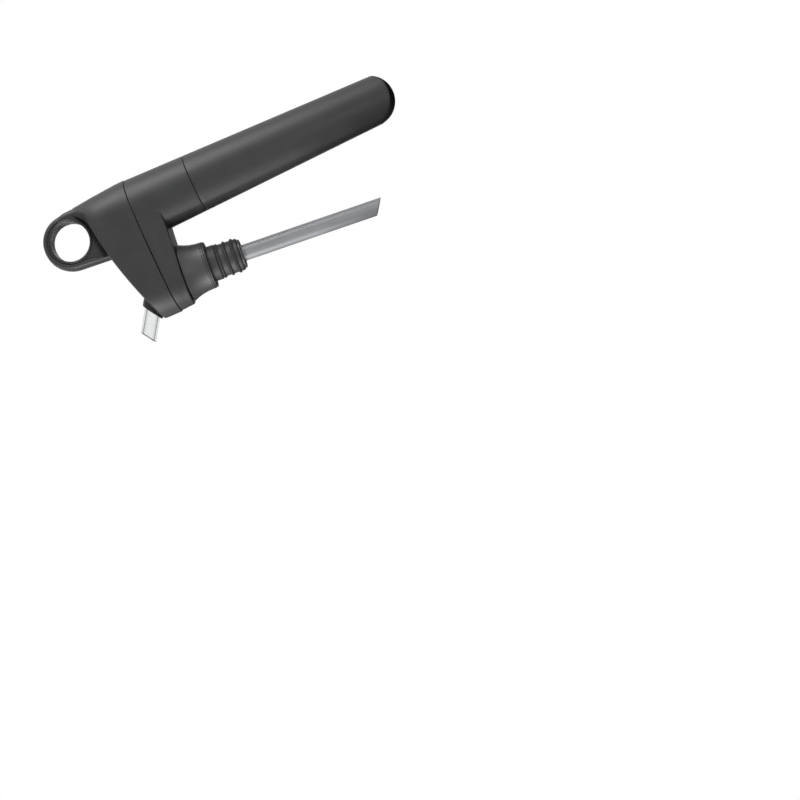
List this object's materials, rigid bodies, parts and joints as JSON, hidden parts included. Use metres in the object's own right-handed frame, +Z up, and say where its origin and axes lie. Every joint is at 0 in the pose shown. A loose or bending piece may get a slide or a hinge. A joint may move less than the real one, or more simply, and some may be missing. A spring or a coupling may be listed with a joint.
{
  "type": "wine preservation dispenser",
  "caption": "Gallows-shaped pour dispenser: bottle stopper with pour tube, head with slanted clear spout and finger ring, and a handle whose screw-off cup holds a gas capsule.",
  "frame": {"origin": "centre of the bottle mouth, in the plane where the stopper's washer rests on the bottle", "axes": "+Z up along the stopper and out of the bottle, +X from the stopper towards the handle; symmetric about Y = 0"},
  "size_m": [0.0958, 0.0346, 0.2011],
  "materials": {
    "charcoal_shell": "satin",
    "dark_plastic": "satin",
    "button_plastic": "satin",
    "black_rubber": "matte",
    "clear_plastic": "clear",
    "grey_tube": "smooth",
    "steel_fastener": "bright",
    "capsule_steel": "drawn",
    "brass_body": "machined",
    "cast_metal": "machined"
  },
  "bodies": {
    "stopper": {"stopper_body": "charcoal_shell", "stopper_plug": "black_rubber", "seat_washer": "black_rubber", "stopper_cap": "dark_plastic", "tube_seal": "black_rubber"},
    "head": {"head_cover": "charcoal_shell", "head_housing": "charcoal_shell", "spout_collar": "dark_plastic", "pour_spout": "clear_plastic", "channel_block": "dark_plastic", "pour_tube": "grey_tube", "tube_o_ring": "black_rubber", "chassis": "dark_plastic", "chassis_screws": "steel_fastener", "capsule_boss": "cast_metal", "regulator_body": "brass_body", "regulator_cap": "brass_body", "piercing_pin": "steel_fastener", "capsule_gasket": "black_rubber", "valve_body": "brass_body", "valve_o_ring": "black_rubber", "regulator_tube": "grey_tube", "gas_line": "grey_tube", "button_spring": "steel_fastener", "regulator_spring": "steel_fastener"},
    "button": {"gas_button": "button_plastic", "valve_stem": "steel_fastener"},
    "piston": {"regulator_piston": "brass_body", "piston_o_ring": "black_rubber"},
    "capsule": {"gas_capsule": "capsule_steel"},
    "cup": {"capsule_cup": "charcoal_shell", "cup_thread_ring": "cast_metal", "cup_pad": "black_rubber"}
  },
  "joints": [
    {"name": "head_lift", "type": "slide", "parent": "stopper", "child": "head", "axis": [0, 0, 1], "range_m": [0, 0.1]},
    {"name": "button_press", "type": "slide", "parent": "head", "child": "button", "axis": [-0.9893, 0, -0.1461], "range_m": [0, 0.002], "stiffness_N_per_m": 800, "springref_m": -0.001, "deforming": ["button_spring"]},
    {"name": "piston_slide", "type": "slide", "parent": "head", "child": "piston", "axis": [-0.1002, 0, 0.995], "range_m": [0, 0.0008], "stiffness_N_per_m": 6000, "springref_m": -0.001, "deforming": ["regulator_spring"]},
    {"name": "capsule_slide", "type": "slide", "parent": "head", "child": "capsule", "axis": [0.1002, 0, -0.995], "range_m": [0, 0.006]},
    {"name": "cup_twist", "type": "hinge", "parent": "capsule", "child": "cup", "pos_m": [0.04315, 0, -0.0057], "axis": [0.1002, 0, -0.995], "range_deg": [0, 1080]}
  ],
  "couplings": [
    {"joint": "cup_twist", "follows": "capsule_slide", "rad_per_m": 3141.6}
  ]
}
